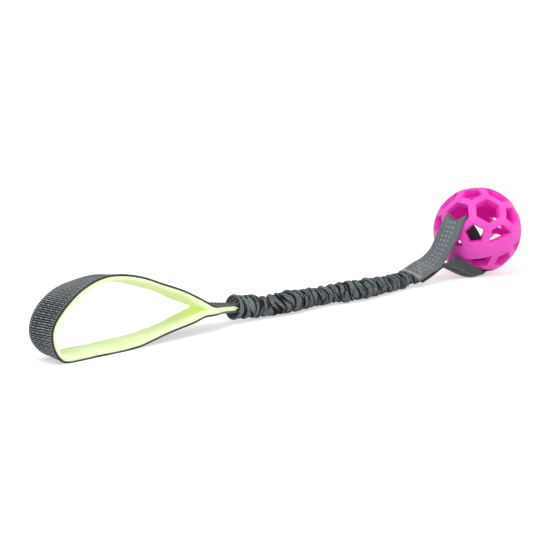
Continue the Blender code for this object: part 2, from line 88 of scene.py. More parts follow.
# Sleeve and elastic
MOUTH_X = 0.182
SLEEVE_LENGTH = 0.202
SLEEVE_BOW = 0.0084
MOUTH_LIFT = 0.0026
MOUTH_RADIUS = 0.0094
MOUTH_WIDTH_SHARE = 0.86
END_RADIUS_SHARE = 0.777
CLOTH_THICKNESS = 0.0007
SLEEVE_WALL = 0.0008
HEM_THICKNESS = 0.0019
HEM_LIP = 0.0009
HEM_CALM_LENGTH = 0.0022
HEM_CREASE_PLACE = 0.0038
HEM_CREASE_WIDTH = 0.0007
HEM_CREASE_DEPTH = 0.0012
RUFFLE_COUNT = 27
RUFFLE_GROWTH_SHARE = 0.26
RUFFLE_DEPTH = 0.0019
RUFFLE_SLANT = 0.0026
RUFFLE_HANG = 0.0007
RINGS_PER_RUFFLE = 19
MAIN_FOLD_DEPTH = 0.0030
PART_FOLD_DEPTH = 0.0024
THIRD_FOLD_DEPTH = 0.0007
WRINKLE_DEPTH = 0.00008
LUMP_HEIGHT = 0.00028
INNER_RINGS = 200
SLEEVE_COLUMNS = 132
CLOSED_END = 0.015
TAIL_LENGTH = 0.012
TAIL_WIDTH = 0.0182
TAIL_THICKNESS = 0.0014
TAIL_SPREAD_SHARE = 1.24
TAIL_FLATTENED_SHARE = 0.50
PRESS_START_SHARE = 0.925
CORE_RADIUS = 0.0030

# Strap
STRAP_WIDTH = 0.020
STRAP_THICKNESS = 0.0013
STRAP_BACK_SHARE = 0.58
STRAP_SPLIT_X = 0.4069
SEAM_LENGTH = 0.024
SEAM_RISE = 0.0070
SEAM_ROLL = radians(17.0)
SEAM_FIRST = 0.0052
SEAM_LAST = 0.0205
TACK_COUNT = 40
TACK_PLACE = 0.0036
TACK_SPREAD = 0.0015
TACK_EDGE_SHARE = 0.82

# Threads
THREAD_SIDES = 6
THREAD_FLOOR_GAP = 0.00004
# Radius, material, colour and dark colour of each piece of thread
THREADS = {
    "handle_stitches": (0.00022, "handle_thread", (168, 174, 177), (110, 116, 120)),
    "sleeve_hem_stitches": (0.00026, "hem_thread", (170, 177, 180), (106, 112, 116)),
    "sleeve_inner_ticks": (0.00046, "inner_tick_thread", (244, 248, 248), (206, 212, 214)),
    "strap_bar_tack_thread": (0.00036, "tack_thread", (204, 204, 198), (150, 151, 148)),
    "strap_seam_stitches": (0.00042, "seam_thread", (192, 195, 190), (146, 149, 145)),
}

# Ball
BALL_CENTRE = np.array((0.465, 0.0, 0.03455))
BALL_RADIUS = 0.0354
BALL_POLE_SHARE = 0.9718
BALL_WALL = 0.0062
RIB_WIDTH_SHARE = 0.1638
BELT_WIDTH_SHARE = 0.2966
RIM_ROUND = 0.0012
BALL_TILT = radians(22.85)
BALL_TILT_HEADING = radians(-164.7)
BALL_SPIN = radians(20.8)

# The tables below hold shares in thousandths

# X and Z of the loop's edges, as shares of its length and height
LOOP_NEAR_THOUSANDTHS = (
    (1000, 336), (950, 433), (883, 531), (822, 613), (675, 770), (537, 911), (400, 989),
    (335, 998), (277, 980), (149, 848), (101, 759), (49, 639), (14, 530), (-4, 422),
    (-5, 304), (8, 181), (31, 85), (59, 22), (93, 0), (253, 0), (452, 0),
    (527, 15), (613, 59), (699, 106), (785, 141), (873, 176), (945, 220), (1000, 247),
)
LOOP_FAR_THOUSANDTHS = (
    (1020, 336), (952, 449), (882, 529), (820, 597), (672, 748), (532, 856), (397, 930),
    (337, 930), (279, 914), (149, 842), (98, 772), (44, 649), (15, 526), (4, 416),
    (7, 306), (25, 208), (49, 135), (72, 85), (101, 41), (253, 0), (453, 1),
    (528, 3), (614, 13), (701, 32), (790, 65), (878, 109), (950, 151), (1020, 227),
)

# Stations along the sleeve: length, then sideways, thickness and lift of its course
SLEEVE_COURSE_THOUSANDTHS = (
    (0, 0, 1000, 1000), (89, 0, 990, 220), (139, 60, 900, 0), (188, 310, 915, 0),
    (252, 550, 968, 0), (312, 450, 926, 0), (371, 320, 872, 0), (460, 290, 830, 0),
    (520, 500, 862, 0), (564, 860, 920, 0), (614, 990, 894, 0), (683, 980, 862, 0),
    (748, 810, 809, 0), (822, 580, 777, 0), (881, 420, 766, 0), (941, 200, 777, 50),
    (1000, 0, 777, 250),
)

# X, Y and Z of the strap's loop from the ball's centre, as shares of the ball's radius
STRAP_NEAR_THOUSANDTHS = (
    (-1452, -302, -386), (-1288, -331, -160), (-1133, -331, 1), (-965, -337, 265),
    (-865, -345, 445), (-765, -310, 405), (-660, -285, 360), (-560, -330, 230),
    (-479, -417, 43), (-403, -463, -211), (-290, -455, -448), (-195, -373, -606),
    (-203, -390, -705), (-209, -418, -796), (-263, -446, -855), (-381, -469, -844),
    (-486, -472, -787), (-698, -401, -660), (-856, -260, -544), (-1020, -175, -482),
    (-1251, -249, -496), (-1458, -299, -553),
)
STRAP_MIDDLE_THOUSANDTHS = (
    (-1429, -28, -338), (-1297, -56, -143), (-1181, -56, 40), (-1048, -56, 244),
    (-1003, -51, 317), (-890, -45, 275), (-777, -45, 224), (-670, -108, 108),
    (-573, -169, -27), (-460, -203, -231), (-278, -207, -482), (-51, -192, -680),
    (-48, -212, -779), (-71, -237, -872), (-184, -268, -943), (-381, -311, -947),
    (-551, -333, -947), (-715, -311, -912), (-907, -266, -821), (-1110, -198, -731),
    (-1319, -136, -629), (-1483, -68, -573),
)
STRAP_FAR_THOUSANDTHS = (
    (-1407, 246, -293), (-1302, 218, -126), (-1206, 196, 71), (-1056, 170, 300),
    (-935, 150, 450), (-822, 138, 410), (-706, 127, 365), (-640, 127, 227),
    (-584, 100, 43), (-513, 69, -188), (-353, 42, -460), (-212, -3, -703),
    (-218, -34, -799), (-229, -59, -889), (-308, -90, -943), (-444, -90, -945),
    (-613, -45, -929), (-794, 34, -855), (-949, 85, -776), (-1133, 136, -680),
    (-1316, 198, -584), (-1455, 223, -505),
)


# Curves and grids


def clamp(values):
    return np.clip(values, 0.0, 1.0)


def unit(vectors):
    return vectors / np.linalg.norm(vectors, axis=-1, keepdims=True)


def round_angles(count):
    return np.linspace(0, 2 * pi, count, endpoint=False)


def grid(rows, columns):
    """Two arrays that give each place of a grid its row's value and its column's value."""
    return np.meshgrid(rows, columns, indexing="ij")


def oval(centre, sideways, up, wide, tall, angles):
    """Points round a centre, at angles, on an oval that may change as it turns."""
    return (centre + sideways * (wide * cos(angles))[..., None]
            + up * (tall * sin(angles))[..., None])


def level_directions(along):
    """A level direction square to each given one."""
    return unit(np.stack([-along[:, 1], along[:, 0], np.zeros(len(along))], axis=-1))


def running_length(points):
    """Length from the start of a polyline to each of its points."""
    steps = np.linalg.norm(np.diff(points, axis=0), axis=1)
    return np.concatenate(([0.0], np.cumsum(steps)))


def smooth_path(points, knots, places):
    """Places on a smooth curve through the points, which stand at the knots."""
    slopes = np.gradient(points, knots, axis=0)
    index = np.clip(np.searchsorted(knots, places, side="right") - 1, 0, len(knots) - 2)
    span = (knots[index + 1] - knots[index])[:, None]
    share = (places - knots[index])[:, None] / span
    left = 1 - share
    return (points[index] * (1 + 2 * share) * left ** 2
            + points[index + 1] * (1 + 2 * left) * share ** 2
            + (slopes[index] * left - slopes[index + 1] * share) * span * share * left)


class Band:
    """A ribbon between a near, a middle and a far line, with places on it by length and width."""

    def __init__(self, near, middle, far, width, rows):
        knots = running_length(middle)
        places = np.linspace(knots[0], knots[-1], rows)
        near, self.middle, far = (smooth_path(line, knots, places) for line in (near, middle, far))
        self.half = (far - near) / 2
        self.lift = (near + far) / 2 - self.middle
        self.along = running_length(self.middle)
        self.length = float(self.along[-1])
        self.width = width

    def lines_at(self, places):
        """The middle, half width and lift of the ribbon at lengths along it."""
        return [np.stack([np.interp(places, self.along, line[:, axis]) for axis in range(3)],
                         axis=-1) for line in (self.middle, self.half, self.lift)]

    def points_at(self, places, share):
        middle, half, lift = self.lines_at(places)
        return middle + half * share + lift * share ** 2

    def surface(self, places, across):
        """Points and normals at lengths and width shares, which are arrays of one shape."""
        share = across[..., None]
        _, half, lift = self.lines_at(places)
        ahead, behind = (self.points_at(np.clip(places + step, 0.0, self.length), share)
                         for step in (NORMAL_STEP, -NORMAL_STEP))
        normals = unit(np.cross(ahead - behind, half + 2 * lift * share))
        return self.points_at(places, share), normals

    def half_width(self, places):
        """The ribbon's real half width at lengths along it, as a column."""
        return np.interp(places, self.along, np.linalg.norm(self.half, axis=1))[:, None]


def section(half_width, low, high, columns=15, round_low=STRIP_ROUND, round_high=STRIP_ROUND):
    """Places round a band's section: width shares, offsets and sides (0 at low, 1 at high)."""
    flat_low, flat_high = 1.0 - round_low / half_width, 1.0 - round_high / half_width
    quarter = np.linspace(0, pi / 2, 5)
    up, back = quarter[1:], quarter[:-1]
    corner = np.concatenate([flat_low + sin(up) * round_low / half_width,
                             flat_high + cos(back) * round_high / half_width])
    heights = np.concatenate([low + (1 - cos(up)) * round_low,
                              high - (1 - sin(back)) * round_high])
    across = np.concatenate([np.linspace(-flat_low, flat_low, columns), corner,
                             np.linspace(flat_high, -flat_high, columns), -corner[::-1]])
    offset = np.concatenate([np.full(columns, low), heights, np.full(columns, high),
                             heights[::-1]])
    return across, offset, (offset - low) / (high - low)


# Meshes


def link(name, data):
    """Put data into the scene as an object."""
    made = bpy.data.objects.new(name, data)
    bpy.context.scene.collection.objects.link(made)
    return made


def add(name, mesh, material):
    """Put a smooth mesh into the scene with one material."""
    mesh.polygons.foreach_set("use_smooth", [True] * len(mesh.polygons))
    mesh.materials.append(material)
    return link(name, mesh)


def new_mesh(name, points, faces):
    mesh = bpy.data.meshes.new(name)
    mesh.from_pydata(points, [], faces)
    mesh.update()
    return mesh


def keep_values(mesh, name, values):
    """Keep one number for each vertex as an attribute."""
    attribute = mesh.attributes.new(name, "FLOAT", "POINT")
    attribute.data.foreach_set("value", values.reshape(-1).astype(np.float32))


def tube_faces(rows, columns, start=0):
    """Faces of a tube of rings with a cap on each end, whose points begin at start."""
    first = start + np.arange(rows - 1)[:, None] * columns
    column = np.arange(columns)[None, :]
    after = (column + 1) % columns
    quads = np.stack([first + column, first + after, first + columns + after,
                      first + columns + column], axis=-1).reshape(-1, 4).tolist()
    last = start + (rows - 1) * columns
    caps = [[*range(start, start + columns)][::-1], [*range(last, last + columns)]]
    return quads + caps


def add_grid(name, points, place_u, place_v, side, material):
    """A tube over a grid of points, with lengths as its UVs and side as an attribute."""
    places = (points + SHIFT).reshape(-1, 3).tolist()
    mesh = new_mesh(name, places, tube_faces(*points.shape[:2]))
    loops = np.empty(len(mesh.loops), dtype=np.int32)
    mesh.loops.foreach_get("vertex_index", loops)
    uvs = np.stack([place_u.reshape(-1)[loops], place_v.reshape(-1)[loops]], axis=-1)
    mesh.uv_layers.new(name="Cloth").data.foreach_set("uv", uvs.astype(np.float32).reshape(-1))
    keep_values(mesh, "side", side)
    shell = bmesh.new()
    shell.from_mesh(mesh)
    bmesh.ops.recalc_face_normals(shell, faces=shell.faces)
    shell.to_mesh(mesh)
    shell.free()
    return add(name, mesh, material)


def add_strip(name, band, places, low, high, notch, half_width, material):
    """Webbing on a band between two heights, ribbed and drawn in at its edges by a notch."""
    across, offset, side = section(band.width / 2, low, high)
    where, share = grid(places, across)
    pull = 1.0 - 0.012 * notch * (np.abs(share) > 0.95)
    points, normals = band.surface(where, share * pull)
    points = points + normals * (offset + RIB_RELIEF * notch * (0.6 - side))[..., None]
    points[..., 2] = np.maximum(points[..., 2], FLOOR_GAP)
    return add_grid(name, points, where, share * half_width, np.broadcast_to(side, share.shape),
                    material)


def add_threads(name, stitches):
    """One piece of many stitches, each a tube that swells along its path."""
    radius, *looks = THREADS[name]
    points, faces = [], []
    angles = round_angles(THREAD_SIDES)
    for path in stitches:
        along = unit(np.gradient(path, axis=0))
        helper = np.where(np.abs(along[:, 2:]) < 0.9, (0.0, 0.0, 1.0), (1.0, 0.0, 0.0))
        side = unit(np.cross(along, helper))
        up = np.cross(side, along)
        count = len(path)
        swell = sin(pi * (np.arange(count) + 0.35) / (count - 0.3)) ** 0.5
        swollen, angle = grid(radius * swell, angles)
        rings = oval(path[:, None], side[:, None], up[:, None], swollen, swollen, angle)
        rings[..., 2] = np.maximum(rings[..., 2], THREAD_FLOOR_GAP)
        faces += tube_faces(count, THREAD_SIDES, len(points))
        points += (rings + SHIFT).reshape(-1, 3).tolist()
    return add(name, new_mesh(name, points, faces), thread_material(*looks))


def stitch(band, places, across, lift, bow):
    """A stitch's path at lengths and width shares of a band, lifted off it and bowed outwards."""
    points, normals = band.surface(places, across)
    arch = sin(np.linspace(0, pi, len(places)))[:, None]
    return points + normals * (lift + bow * arch)


def stitches_on(band, start, end, across_from, across_to, lift, length, pause, bow):
    """Stitches that run on a band's surface from one place to another."""
    total = hypot(end - start, (across_to - across_from) * band.width / 2)
    count = max(int(total / (length + pause)), 1)
    rest = 0.5 * pause / (length + pause)
    paths = []
    for index in range(count):
        shares = np.linspace(index + rest, index + 1 - rest, 5) / count
        paths.append(stitch(band, start + (end - start) * shares,
                            across_from + (across_to - across_from) * shares, lift, bow))
    return paths


# Materials


def colour_value(colour):
    """A link as it is, or an sRGB colour from 0 to 255 as a linear one."""
    if not isinstance(colour, tuple):
        return colour
    values = [part / 255.0 for part in colour]
    return (*(value / 12.92 if value <= 0.04045 else ((value + 0.055) / 1.055) ** 2.4
              for value in values), 1.0)


class Nodes:
    """Short calls for building a node material. A value is a number or a node's output."""

    def __init__(self, name):
        self.material = bpy.data.materials.new(name)
        self.material.use_nodes = True
        self.tree = self.material.node_tree
        self.shader = self.tree.nodes["Principled BSDF"]

    def put(self, socket, value):
        """Link an output to a socket, or set the socket's own value."""
        if isinstance(value, bpy.types.NodeSocket):
            self.tree.links.new(value, socket)
        else:
            socket.default_value = value

    def node(self, kind, values=(), **settings):
        """The outputs of a new node, given its settings and its inputs by name or number."""
        made = self.tree.nodes.new("ShaderNode" + kind)
        for key, value in settings.items():
            setattr(made, key, value)
        for key, value in dict(values).items():
            self.put(made.inputs[key], value)
        return made.outputs

    def math(self, operation, *values):
        return self.node("Math", enumerate(values), operation=operation)[0]

    def times(self, first, *others):
        for other in others:
            first = self.math("MULTIPLY", first, other)
        return first

    def plus(self, value, factor, rest):
        """The value times the factor, plus the rest."""
        return self.math("MULTIPLY_ADD", value, factor, rest)

    def rest(self, value):
        """What the value leaves of one."""
        return self.math("SUBTRACT", 1.0, value)

    def most(self, first, *others):
        for other in others:
            first = self.math("MAXIMUM", first, other)
        return first

    def uv(self):
        split = self.node("SeparateXYZ", {0: self.node("UVMap", uv_map="Cloth")[0]})
        return split[0], split[1]

    def attribute(self, name):
        return self.node("Attribute", attribute_name=name)["Fac"]

    def place(self):
        return self.node("TexCoord")["Object"]

    def noise(self, scale, detail=2.0, roughness=0.5):
        values = {"Vector": self.place(), "Scale": scale, "Detail": detail, "Roughness": roughness}
        return self.node("TexNoise", values)["Fac"]

    def ramp(self, value, low, high, start=0.0, end=1.0):
        """A smooth change from start to end while the value goes from low to high."""
        values = {"Value": value, "From Min": low, "From Max": high, "To Min": start, "To Max": end}
        return self.node("MapRange", values, interpolation_type="SMOOTHSTEP")[0]

    def wave(self, place, pitch, shift=0.0):
        """A smooth wave from 0 to 1 with its crest at each whole pitch."""
        turns = self.plus(place, 2 * pi / pitch, shift)
        return self.plus(self.math("COSINE", turns), 0.5, 0.5)

    def near(self, place, target, half_width, soft):
        """One where place is within half_width of target, falling softly to zero."""
        distance = self.math("ABSOLUTE", self.math("SUBTRACT", place, target))
        return self.ramp(distance, half_width, half_width + soft, 1.0, 0.0)

    def mix(self, share, first, second):
        values = {"Factor": share, "A": colour_value(first), "B": colour_value(second)}
        return self.node("Mix", values, data_type="RGBA")["Result"]

    def coats(self, body, *coats):
        """Lay colours over a body, each on a share of it and at a strength."""
        for share, strength, colour in coats:
            body = self.mix(self.times(share, strength), body, colour)
        return body

    def finish(self, colour, roughness, height, depth, strength=1.0, sheen=(0.0, 0.5), **values):
        """Give the shader its colour, its roughness, a bump from a height, and other values."""
        bump = self.node("Bump", {"Height": height, "Distance": depth, "Strength": strength})[0]
        return self.shade(Base_Color=colour, Roughness=roughness, Normal=bump,
                          Sheen_Weight=sheen[0], Sheen_Roughness=sheen[1], **values)

    def shade(self, **values):
        """Put values into the shader's sockets, whose names have spaces for underscores."""
        for key, value in values.items():
            self.put(self.shader.inputs[key.replace("_", " ")], value)
        return self.material


def webbing_material():
    """Handle webbing: fine cross ribs, thin light lines on their crests painted as highlights, and
    bright ticks in four columns.
    """
    n = Nodes("handle_webbing_weave")
    along, across = n.uv()
    edge = n.math("ABSOLUTE", across)
    wander = n.plus(n.noise(140.0), 0.0006, along)
    rib = n.wave(wander, RIB_PITCH)
    fine_rib = n.wave(wander, RIB_PITCH / 3)
    # The grooves between the ribs are painted near black: painted shade in the grooves, besides
    # their bump.
    groove = n.ramp(rib, 0.20, 0.42, 1.0, 0.0)
    ticks = n.most(*(n.near(edge, column, 0.00036, 0.00025) for column in (0.0027, 0.0078)))
    bright_tick = n.times(ticks, n.ramp(n.wave(wander, 2 * RIB_PITCH, pi), 0.74, 0.92))
    seam = n.near(edge, 0.0106, 0.00028, 0.0003)
    selvedge = n.ramp(edge, 0.0114, 0.0120)
    patch = n.ramp(n.noise(70.0), 0.42, 0.6)
    # Lighter along the top of the loop, where the light grazes the webbing: painted sheen.
    loop_top_sheen = n.times(n.ramp(along, 0.10, 0.15), n.ramp(along, 0.165, 0.195, 1.0, 0.0))
    # Thin light lines on the rib crests, broken at the tick columns: painted highlights, brighter
    # on the loop's top.
    crest_highlight = n.times(n.ramp(rib, 0.72, 0.92), n.rest(ticks), n.plus(loop_top_sheen, 0.5, 1.0))
    mottle = n.noise(1000.0, 3.0, 0.6)
    notch = n.ramp(n.wave(wander, RIB_PITCH / 2), 0.5, 0.85)
    trim = n.mix(notch, (26, 34, 28), (74, 84, 74))
    body = n.mix(n.times(fine_rib, n.ramp(mottle, 0.35, 0.65)), (56, 61, 63), (92, 98, 100))
    body = n.coats(
        body, (groove, 0.92, (26, 29, 31)), (n.times(ticks, groove), 0.5, (88, 94, 96)),
        (loop_top_sheen, 0.22, (158, 165, 169)), (crest_highlight, n.plus(patch, 0.42, 0.42), (176, 182, 186)),
        (bright_tick, 0.75, (190, 196, 199)),
        (seam, n.ramp(rib, 0.1, 0.5, 0.2, 0.62), (158, 164, 167)), (selvedge, 0.92, trim))
    height = n.plus(fine_rib, 0.35, n.rest(groove))
    height = n.plus(bright_tick, 0.6, n.plus(mottle, 0.3, height))
    return n.finish(body, n.ramp(mottle, 0.3, 0.7, 0.72, 0.9), height, 0.00025,
                    sheen=(0.4, 0.25), Specular_IOR_Level=0.15)


def lining_material(length):
    """Lime lining: soft fine-knit padding, painted a deeper lime as shade where its two runs close
    together.
    """
    n = Nodes("lining_knit")
    along, across = n.uv()
    knit = n.times(n.wave(along, 0.00085), n.wave(across, 0.00085))
    fuzz = n.noise(1400.0, 3.0, 0.65)
    cloud = n.noise(45.0, 3.0, 0.55)
    loop = n.times(n.ramp(along, 0.036, 0.044),
                   n.ramp(along, length - 0.044, length - 0.036, 1.0, 0.0))
    # Deeper lime where the two runs close together: painted shade.
    close = n.most(n.ramp(along, 0.06, 0.24, 1.0, 0.0),
                   n.ramp(along, length - 0.075, length - 0.045))
    # In the crotches the lime is painted deeper as shade, and the glow below is raised there:
    # painted light.
    crotch_shade_and_glow = n.times(n.most(n.ramp(along, 0.045, 0.075, 1.0, 0.0),
                            n.ramp(along, length - 0.07, length - 0.045)), loop)
    # Paler towards the edges: partly the pale cut edge of the foam, partly a painted highlight.
    cut_edge_and_highlight = n.ramp(n.attribute("side"), 0.84, 0.95)
    body = n.mix(n.ramp(cloud, 0.3, 0.7), (230, 247, 189), (236, 250, 203))
    body = n.coats(
        body, (knit, 0.14, (214, 238, 140)), (n.times(close, loop), 0.70, (232, 243, 158)),
        (crotch_shade_and_glow, 0.12, (232, 246, 128)),
        (cut_edge_and_highlight, n.ramp(fuzz, 0.25, 0.7, 0.55, 0.8), (242, 254, 210)))
    # The lining glows in its own colour everywhere: painted light.
    return n.finish(body, n.ramp(fuzz, 0.3, 0.7, 0.8, 0.95), n.plus(knit, -0.6, fuzz), 0.00012, 0.8,
                    (0.2, 0.6), Emission_Color=body, Emission_Strength=n.plus(crotch_shade_and_glow, 0.08, 0.10))


def sleeve_material():
    """Sleeve cloth: a dense diagonal weave, with painted shade near black down in the folds and a
    painted highlight on the crests.
    """
    n = Nodes("sleeve_weave")
    along, across = n.uv()
    # The fold shade kept on the mesh, which the colours below turn into painted shade and painted
    # highlight.
    depth = n.attribute("side")
    bend = n.plus(n.noise(90.0), 0.0012, along)
    warp = n.wave(n.plus(across, 0.6, bend), 0.00115)
    weft = n.wave(n.plus(bend, -0.5, across), 0.0017)
    mottle = n.noise(620.0, 3.0, 0.65)
    weave = n.plus(warp, 0.62, n.times(weft, 0.38))
    weave = n.math("ADD", n.math("SUBTRACT", mottle, 0.5), weave)
    fleck = n.ramp(n.times(warp, weft, mottle), 0.36, 0.56)
    cloud = n.ramp(n.noise(75.0), 0.42, 0.7)
    body = n.mix(n.ramp(weave, 0.2, 0.85), (66, 72, 75), (150, 157, 161))
    body = n.coats(
        body, (fleck, 0.75, (182, 188, 191)), (cloud, 0.35, (62, 68, 71)),
        # Crests painted paler as a highlight, folds painted near black as shade.
        (n.ramp(depth, 0.02, 0.22, 1.0, 0.0), 0.22, (160, 167, 171)),
        (n.ramp(depth, 0.36, 0.70), 0.97, (10, 12, 13)))
    return n.finish(body, n.ramp(mottle, 0.3, 0.7, 0.7, 0.88), n.plus(mottle, 0.35, weave), 0.0003,
                    sheen=(0.05, 0.45), Specular_IOR_Level=0.12)


def strap_material(back_from):
    """Ball strap: fine cross ribs; three columns of pale ticks in front, one on the back."""
    n = Nodes("strap_weave")
    along, across = n.uv()
    front = n.ramp(along, back_from, back_from + 0.004, 1.0, 0.0)
    outside = n.times(n.ramp(n.attribute("side"), 0.4, 0.6), front)
    inside = n.rest(outside)
    wander = n.plus(n.noise(200.0), 0.0003, along)
    rib = n.wave(wander, 0.00082)
    columns = [n.near(across, column, 0.00042, 0.0004) for column in (-0.0033, 0.0, 0.0033)]
    dots = n.times(n.most(*columns), n.ramp(n.wave(wander, 0.0039), 0.66, 0.92), outside)
    dashes = n.times(n.near(across, -0.0030, 0.00026, 0.0002),
                     n.ramp(n.wave(wander, 0.0031), 0.3, 0.5),
                     n.ramp(along, back_from + 0.015, back_from + 0.018), inside, 0.6)
    dots = n.most(dots, dashes)
    selvedge = n.ramp(n.math("ABSOLUTE", across), 0.0091, 0.0097)
    mottle = n.noise(900.0, 3.0, 0.6)
    body = n.mix(n.times(rib, n.ramp(mottle, 0.3, 0.7)), (98, 105, 110), (143, 150, 156))
    # The inside face and the return run under the ball are painted darker: painted shade.
    body = n.coats(body, (inside, 1.0, (72, 82, 80)), (dots, 0.55, (205, 212, 215)),
                   (selvedge, 0.4, (84, 90, 94)))
    height = n.plus(dots, 0.9, n.plus(mottle, 0.3, rib))
    return n.finish(body, n.ramp(mottle, 0.3, 0.7, 0.68, 0.86), height, 0.00018,
                    sheen=(0.15, 0.5), Specular_IOR_Level=0.25)


def thread_material(name, colour, dark):
    """Sewing thread: a twisted filament with a slight gloss."""
    n = Nodes(name)
    twist = n.noise(2600.0)
    return n.finish(n.mix(twist, dark, colour), n.ramp(twist, 0.3, 0.7, 0.5, 0.7), twist, 0.00008)


def elastic_material():
    """Elastic cord in its braided cover."""
    n = Nodes("elastic_braid")
    along, across = n.uv()
    braid = n.times(*(n.wave(n.math(way, along, across), 0.0012) for way in ("ADD", "SUBTRACT")))
    mottle = n.noise(1200.0)
    body = n.mix(braid, (24, 24, 26), (58, 58, 61))
    return n.finish(body, n.ramp(mottle, 0.3, 0.7, 0.6, 0.8), n.plus(mottle, 0.3, braid), 0.00015)


def rubber_material():
    """Pink rubber: soft matt skin with pale dusty specks, painted a deeper magenta on the inner
    walls of the openings as shade.
    """
    n = Nodes("ball_rubber")
    cloud = n.noise(38.0, 4.0, 0.6)
    speck = n.noise(520.0, 3.0, 0.6)
    # The inner walls of the openings are painted a deeper magenta: painted shade.
    inner = n.ramp(n.attribute("outer"), 0.1, 0.95, 1.0, 0.0)
    body = n.mix(n.ramp(cloud, 0.3, 0.7), (252, 84, 206), (255, 98, 214))
    body = n.coats(body, (inner, 1.0, (255, 25, 206)),
                   (n.ramp(speck, 0.62, 0.78), 0.25, (255, 146, 228)))
    return n.finish(body, n.ramp(speck, 0.3, 0.75, 0.42, 0.58), n.plus(speck, 0.5, cloud), 0.00018,
                    0.5, Subsurface_Weight=0.25, Subsurface_Scale=0.004, Specular_IOR_Level=0.35)


# Sleeve's course


def sleeve_course(share):
    """Sideways, thickness and lift shares at shares of the sleeve's length."""
    stations = np.array(SLEEVE_COURSE_THOUSANDTHS) / 1000
    return smooth_path(stations[:, 1:], stations[:, 0], clamp(np.atleast_1d(share)))


def sleeve_axis(share):
    """Places on the sleeve's centre line at shares of its length."""
    share = np.atleast_1d(np.asarray(share, dtype=float))
    sideways, thickness, lift = sleeve_course(share).T
    return np.stack([MOUTH_X + share * SLEEVE_LENGTH, -SLEEVE_BOW * sideways,
                     MOUTH_RADIUS * thickness + MOUTH_LIFT * lift], axis=-1)


# Handle


def tab_rows(side, width_sign):
    """Guide points of one ply of the tab, from the loop to its end inside the sleeve."""
    lift = side * TAB_HALF_THICKNESS
    waist_z = 0.5 * (TAB_HEIGHT + sleeve_axis(0.0)[0][2])
    points = [((LOOP_LENGTH + MOUTH_X) / 2,
               width_sign * (0.2 * HANDLE_WIDTH + 0.3 * TAB_MOUTH_WIDTH), waist_z + lift)]
    for share in (-0.2, 0.4, 1.0):
        x, y, z = sleeve_axis(share * TAB_INSIDE / SLEEVE_LENGTH)[0]
        points.append((x, y + width_sign * TAB_MOUTH_WIDTH / 2, z + lift))
    return points


def handle_line(thousandths, width_sign):
    """One edge of the handle, from the end inside the sleeve round the loop and back."""
    half = width_sign * HANDLE_WIDTH / 2
    loop = [(x / 1000 * LOOP_LENGTH, half, z / 1000 * LOOP_HEIGHT) for x, z in thousandths]
    for end, side in ((0, 1), (-1, -1)):
        height = TAB_HEIGHT + side * JUNCTION_SPREAD * TAB_HALF_THICKNESS
        loop[end] = (loop[end][0], half, height)
    return np.array(tab_rows(1, width_sign)[::-1] + loop + tab_rows(-1, width_sign))


def handle_band():
    near, far = handle_line(LOOP_NEAR_THOUSANDTHS, -1), handle_line(LOOP_FAR_THOUSANDTHS, 1)
    return Band(near, (near + far) / 2, far, HANDLE_WIDTH, 900)


def build_webbing(band):
    """The outer webbing: a ribbed band with rounded, notched edges."""
    places = np.arange(0.0, band.length, RIB_PITCH / 6)
    notch = (0.5 - 0.5 * cos(2 * pi * places / RIB_PITCH))[:, None]
    return add_strip("handle_webbing_band", band, places, 0.0, WEBBING_THICKNESS, notch,
                     band.half_width(places), webbing_material())


def meeting_height(band, points, share):
    """Height at which the loop's upper and lower runs meet, over each point."""
    half = len(band.along) // 2
    total = 0.0
    for run in (slice(0, half), slice(half, None)):
        rows, spread = band.middle[run], band.half[run]
        order = np.argsort(rows[:, 0])
        keep = order[rows[order, 0] > LOOP_LENGTH * 0.5]
        for heights, weight in ((rows[keep, 2], 1.0), (spread[keep, 2], share)):
            total = total + np.interp(points[..., 0], rows[keep, 0], heights) * weight
    return total / 2


def lining_thickness(x):
    """Full in the loop, fuller still where the runs close, and squeezed thin in the tab."""
    fullness = clamp((1.0 - x / LOOP_LENGTH) / 0.1)
    thin = TAB_LINING_THICKNESS + (LINING_THICKNESS - TAB_LINING_THICKNESS) * fullness
    fill = clamp((x - LINING_CLOSE_X) / (LOOP_LENGTH - LINING_CLOSE_X))
    return thin + LINING_CLOSE_FILL * fill * fill * (3 - 2 * fill)


def build_lining(band):
    """The padded lining: soft round edges, with its two runs pressed together in the tab."""
    x, knots = band.middle[:, 0], band.along
    start = np.interp(MOUTH_X + 0.001, x[:60][::-1], knots[:60][::-1])
    end = np.interp(MOUTH_X + 0.001, x[-60:], knots[-60:])
    places = np.linspace(start, end, 640)
    across, offset, _ = section(HANDLE_WIDTH / 2, 0.0, LINING_THICKNESS, 19, 0.0003, 0.0011)
    where, share = grid(places, across)
    base, normals = band.surface(where, share * LINING_WIDTH_SHARE)
    thickness = lining_thickness(base[..., 0])
    level = offset / LINING_THICKNESS
    swell = 0.00012 * sin(where * 190.0 + 2.0 * share) + 0.00010 * sin(where * 430.0 - share)
    ends = np.minimum(where - start, end - where)
    pointed = np.clip(ends / LINING_POINT_LENGTH, 0.03, 1.0) ** 0.7
    inner = WEBBING_THICKNESS + GAP * 0.5 + thickness + swell * level
    depth = inner - (1.0 - level) * (thickness + swell * level) * pointed
    points = base + normals * depth[..., None]
    meeting = meeting_height(band, points, share)
    closing = points[..., 0] > LINING_CLOSE_X
    upper_run = where < band.length / 2
    height = points[..., 2]
    height = np.where(closing & upper_run, np.maximum(height, meeting - LINING_PRESS), height)
    height = np.where(closing & ~upper_run, np.minimum(height, meeting + LINING_PRESS), height)
    points[..., 2] = np.maximum(height, WEBBING_THICKNESS)
    real_share = share * LINING_WIDTH_SHARE * band.half_width(places)
    return add_grid("handle_lining_pad", points, where, real_share, np.abs(share),
                    lining_material(band.length))


